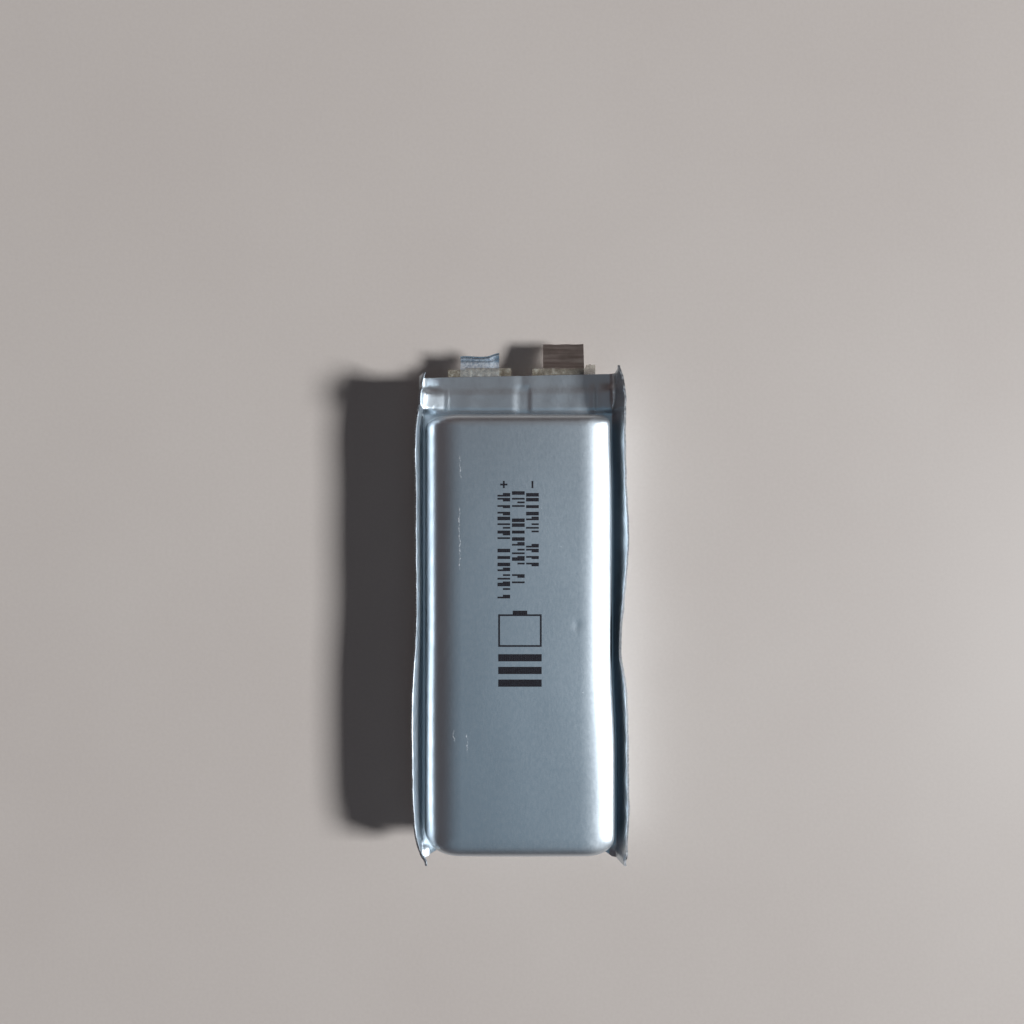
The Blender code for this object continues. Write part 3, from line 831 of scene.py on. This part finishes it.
def positive_film_edge(across):
    """How far the film's outer edge stands past the CAD's, over its width."""
    ragged = 0.05 * ripple(across * 9, across * 0, 0.9, 81)
    return -0.28 + 0.22 * smooth(0.26, 0.30, across) + ragged


def negative_film_edge(across):
    """The same for the nickel tab's films, whose right corner stands out."""
    ragged = 0.06 * ripple(across * 9, across * 0, 0.7, 83)
    corner = 0.55 + 0.12 * ripple(across * 9, across * 0, 0.35, 84)
    return -0.12 + smooth(0.83, 0.86, across) * corner + ragged


tab("positive", ALUMINIUM, positive_tip, positive_curl)
tab("negative", NICKEL, negative_tip, negative_curl)
for face_name in ("front", "back"):
    film("positive", face_name, positive_film_edge)
    film("negative", face_name, negative_film_edge)

# ---------------------------------------------------------------------------------------------
# Print on the front face: polarity signs, rows of plain dot bars and a battery pictogram

DOT = 0.25  # pitch of the dots
DOT_SIZE = 0.98  # of the pitch
INK_CLEAR = 0.002  # under the ink
INK_THICKNESS = 0.012
PRINT_TOP = 21.4  # y where the rows start
ROW_TOPS = (2.6, 0.65, -1.35)  # x of the top of each printed row; rows read down the cell
ROW_ENDS = (9.4, 6.3, 3.3)  # y where each row ends
CELL_PITCH = 1.17  # along a row


def print_cells():
    """Dots as (x, y): 7 high and 5 wide to a print cell. The outer rows start with a polarity sign."""
    dots = set()

    def dot(row_top, start, column, height):
        x = row_top - (6 - height + 0.5) * DOT
        dots.add((round(x, 4), round(start - (column + 0.5) * DOT, 4)))

    motifs = ([0, 1, 3], [0, 2, 4], [1, 2], [0, 3, 4], [0, 1, 4], [2, 3])
    for row, (row_top, row_end) in enumerate(zip(ROW_TOPS, ROW_ENDS)):
        cells = int((PRINT_TOP - row_end) / CELL_PITCH)
        for cell in range(cells):
            start = PRINT_TOP - cell * CELL_PITCH
            if cell == 0:
                if row != 1:  # a minus sign
                    for k in range(4):
                        dot(row_top, start, k, 3)
                if row == 2:  # makes it a plus sign
                    for k in (1.5, 2.5, 4.5, 3.5):
                        dot(row_top, start, 1.5, k)
                continue
            if (cell * 3 + row * 2) % 7 == 4:
                continue
            for column in motifs[(cell * 5 + row * 3) % len(motifs)]:
                short = (cell + column + row) % 4 == 1
                for height in range(3 if short else 0, 7):
                    dot(row_top, start, column, height)
    return dots


def pictograms():
    """A battery outline and three level bars below the rows."""
    dots = set()

    def bar(x0, x1, y0, y1):
        for i in range(max(1, round((x1 - x0) / DOT))):
            for j in range(max(1, round((y1 - y0) / DOT))):
                dots.add((round(x0 + (i + 0.5) * DOT, 4), round(y0 + (j + 0.5) * DOT, 4)))

    left, right, low, high = -3.0, 3.0, -1.5, 3.0
    bar(left, left + DOT, low, high)
    bar(right - DOT, right, low, high)
    bar(left, right, low, low + DOT)
    bar(left, right, high - DOT, high)
    bar(-1.0, 1.0, high, high + 2 * DOT)
    for k in range(3):
        y = -2.5 - k * 1.75
        bar(left, right, y - 1.0, y)
    return dots


def stamp(name, dots):
    """Each dot is a thin ink pad on the face, which follows the face's relief."""
    verts, faces = [], []
    half = DOT * 0.5 * DOT_SIZE
    for x, y in sorted(dots):
        base = TOP_Z + face_relief(np.array(x), np.array(y))
        first = len(verts)
        for z in (base + INK_CLEAR, base + INK_THICKNESS):
            for dx, dy in ((-1, -1), (1, -1), (1, 1), (-1, 1)):
                verts.append((x + dx * half, y + dy * half, float(z)))
        for quad in ((3, 2, 1, 0), (4, 5, 6, 7), (0, 1, 5, 4), (1, 2, 6, 5), (2, 3, 7, 6), (3, 0, 4, 7)):
            faces.append([first + q for q in quad])
    mesh = bpy.data.meshes.new(name)
    mesh.from_pydata((np.array(verts) * MM).tolist(), [], faces)
    mesh.materials.append(INK)
    piece = bpy.data.objects.new(name, mesh)
    bpy.context.scene.collection.objects.link(piece)
    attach(piece, "cell")


INK = ink_material()
stamp("printed_rows", print_cells())
stamp("printed_pictograms", pictograms())

# ---------------------------------------------------------------------------------------------
# Insides: the CAD's own pieces with their finishes

INSIDE_LOOKS = {
    "cathode_strip": coated_material("cathode_coating", (0.10, 0.10, 0.11), (0.19, 0.19, 0.20), 0.68),
    "anode_strip": coated_material("anode_coating", (0.05, 0.05, 0.055), (0.12, 0.115, 0.11), 0.78),
    "separator_inner": separator_material(),
    "roll_closing_tape": tape_material("amber_tape", (0.55, 0.38, 0.10), (0.80, 0.62, 0.24)),
    "roll_bottom_tape": tape_material("green_tape", (0.12, 0.30, 0.16), (0.24, 0.46, 0.26)),
}
INSIDE_LOOKS["separator_outer"] = INSIDE_LOOKS["separator_inner"]
INSIDE_LOOKS["positive_weld_tape"] = INSIDE_LOOKS["roll_bottom_tape"]
INSIDE_LOOKS["negative_weld_tape"] = INSIDE_LOOKS["roll_bottom_tape"]
for node, look in INSIDE_LOOKS.items():
    slots = frame["nodes"][node].material_slots
    for k in range(len(slots)):
        slots[k].material = look

# ---------------------------------------------------------------------------------------------
# Floor, light and camera

FLOOR_SIZE = 1.5  # half its width
FLOOR_DROP = 0.0002  # below the part


def floor():
    """A plain pale stone slab, just under the cell."""
    mesh = bpy.data.meshes.new("floor")
    size = FLOOR_SIZE
    corners = [(-size, -size, 0), (size, -size, 0), (size, size, 0), (-size, size, 0)]
    mesh.from_pydata(corners, [], [(0, 1, 2, 3)])
    m = Nodes("pale_floor")
    place = m.place()
    cloud = m.noise(place, 0.02, 4, 0.55)
    speck = m.noise(place, 2.0, 3, 0.6)
    tone = m.ramp(cloud, [(0.3, (0.60, 0.53, 0.483)), (0.7, (0.637, 0.57, 0.52))])
    grit = m.ramp(speck, [(0.3, (0.5, 0.48, 0.46)), (0.7, (0.7, 0.68, 0.66))])
    rough = m.range(speck, 0.3, 0.7, 0.5, 0.6)
    mesh.materials.append(m.use(Base_Color=m.mix(0.12, tone, grit), Roughness=rough))
    made = bpy.data.objects.new("floor", mesh)
    made.location.z = -FLOOR_DROP
    bpy.context.scene.collection.objects.link(made)


LIGHT_AZIMUTH = math.radians(-8)  # from +X towards +Y
LIGHT_ELEVATION = math.radians(31)
LIGHT_DISTANCE = 3.0


def window_light():
    """A soft rectangle, facing the cell from its right."""
    data = bpy.data.lights.new("window", "AREA")
    data.shape = "RECTANGLE"
    data.size = 0.75
    data.size_y = 0.50
    data.energy = 122.0
    data.color = (0.97, 1.0, 1.03)
    made = bpy.data.objects.new("window", data)
    level = math.cos(LIGHT_ELEVATION)
    rise = math.sin(LIGHT_ELEVATION)
    way = Vector((level * math.cos(LIGHT_AZIMUTH), level * math.sin(LIGHT_AZIMUTH), rise))
    made.location = way * LIGHT_DISTANCE
    made.rotation_euler = way.to_track_quat("Z", "Y").to_euler()
    bpy.context.scene.collection.objects.link(made)


WALL_TONE = (0.175, 0.145, 0.135, 1)
PANEL_TONE = (0.152, 0.237, 0.305, 1)
HORIZON_TONE = (0.34, 0.30, 0.28, 1)
WORLD_STRENGTH = 0.85


def studio_world():
    """A dim warm room: a bluish ceiling over the cell, a brown patch past the tabs, a pale horizon."""
    world = bpy.data.worlds.new("studio")
    bpy.context.scene.world = world
    world.use_nodes = True
    tree = world.node_tree
    back = tree.nodes["Background"]
    coordinate = tree.nodes.new("ShaderNodeTexCoord")
    split = tree.nodes.new("ShaderNodeSeparateXYZ")
    tree.links.new(coordinate.outputs["Generated"], split.inputs[0])

    def ramp(axis, stops):
        """A colour by direction; stops run over the axis from -1 to 1."""
        shift = tree.nodes.new("ShaderNodeMapRange")
        shift.inputs["From Min"].default_value = -1
        made = tree.nodes.new("ShaderNodeValToRGB")
        tree.links.new(split.outputs[axis], shift.inputs["Value"])
        tree.links.new(shift.outputs["Result"], made.inputs["Fac"])
        elements = made.color_ramp.elements
        while len(elements) < len(stops):
            elements.new(0.5)
        for element, (position, colour) in zip(elements, stops):
            element.position = position
            element.color = (*colour, 1)
        return made.outputs["Color"]

    def blend(mode, factor, first, second):
        node = tree.nodes.new("ShaderNodeMix")
        node.data_type = "RGBA"
        node.blend_type = mode
        colours = [i for i in node.inputs if i.type == "RGBA"]
        tree.links.new(first, colours[0])
        if isinstance(second, tuple):
            colours[1].default_value = second
        else:
            tree.links.new(second, colours[1])
        if isinstance(factor, float):
            node.inputs["Factor"].default_value = factor
        else:
            tree.links.new(factor, node.inputs["Factor"])
        return [o for o in node.outputs if o.type == "RGBA"][0]

    def within(axis, nothing, full):
        """Rises from 0 to 1 between two values of the axis."""
        node = tree.nodes.new("ShaderNodeMapRange")
        node.interpolation_type = "SMOOTHSTEP"
        node.inputs["From Min"].default_value = nothing
        node.inputs["From Max"].default_value = full
        tree.links.new(split.outputs[axis], node.inputs["Value"])
        return node.outputs["Result"]

    def patch(limits):
        """1 inside a soft-edged box of upward directions; limits are (axis, outside, inside)."""
        mask = within("Z", 0.4, 0.6)
        for axis, nothing, full in limits:
            product = tree.nodes.new("ShaderNodeMath")
            product.operation = "MULTIPLY"
            tree.links.new(mask, product.inputs[0])
            tree.links.new(within(axis, nothing, full), product.inputs[1])
            mask = product.outputs[0]
        return mask

    side_tones = [
        (0.0, (0.068, 0.047, 0.045)),
        (0.35, (0.062, 0.045, 0.044)),
        (0.55, (0.036, 0.029, 0.028)),
        (1.0, (0.055, 0.048, 0.045)),
    ]
    depth_tones = [(0.0, (0.8, 0.95, 1.2)), (0.5, (1.0, 1.0, 1.0)), (1.0, (1.4, 1.05, 0.95))]
    room = blend("MULTIPLY", 1.0, ramp("X", side_tones), ramp("Y", depth_tones))
    wall = patch((("X", -0.50, -0.30), ("X", 0.55, 0.35), ("Y", 0.08, 0.26), ("Y", 0.62, 0.45)))
    panel = patch((("X", -0.42, -0.18), ("X", 0.60, 0.25), ("Y", 0.24, 0.06), ("Y", -0.75, -0.5)))
    horizon = within("Z", 0.16, 0.07)
    room = blend("MIX", wall, room, WALL_TONE)
    room = blend("MIX", panel, room, PANEL_TONE)
    room = blend("MIX", horizon, room, HORIZON_TONE)
    tree.links.new(room, back.inputs["Color"])
    back.inputs["Strength"].default_value = WORLD_STRENGTH


CAMERA_LENS = 27.07
CAMERA_X = -1.1
CAMERA_BACK = 13.84  # below the cup's upper end, along y
CAMERA_HEIGHT = 106.3  # above the face


def camera():
    """Straight above, a hand's breadth up, over the upper half of the cell."""
    data = bpy.data.cameras.new("camera")
    data.lens = CAMERA_LENS
    data.clip_start = 0.005
    made = bpy.data.objects.new("camera", data)
    made.location = (CAMERA_X * MM, (FOOT_HIGH - CAMERA_BACK) * MM, (TOP_Z + CAMERA_HEIGHT) * MM)
    bpy.context.scene.collection.objects.link(made)
    bpy.context.scene.camera = made


floor()
window_light()
studio_world()
camera()
bpy.context.scene.view_settings.view_transform = "Standard"
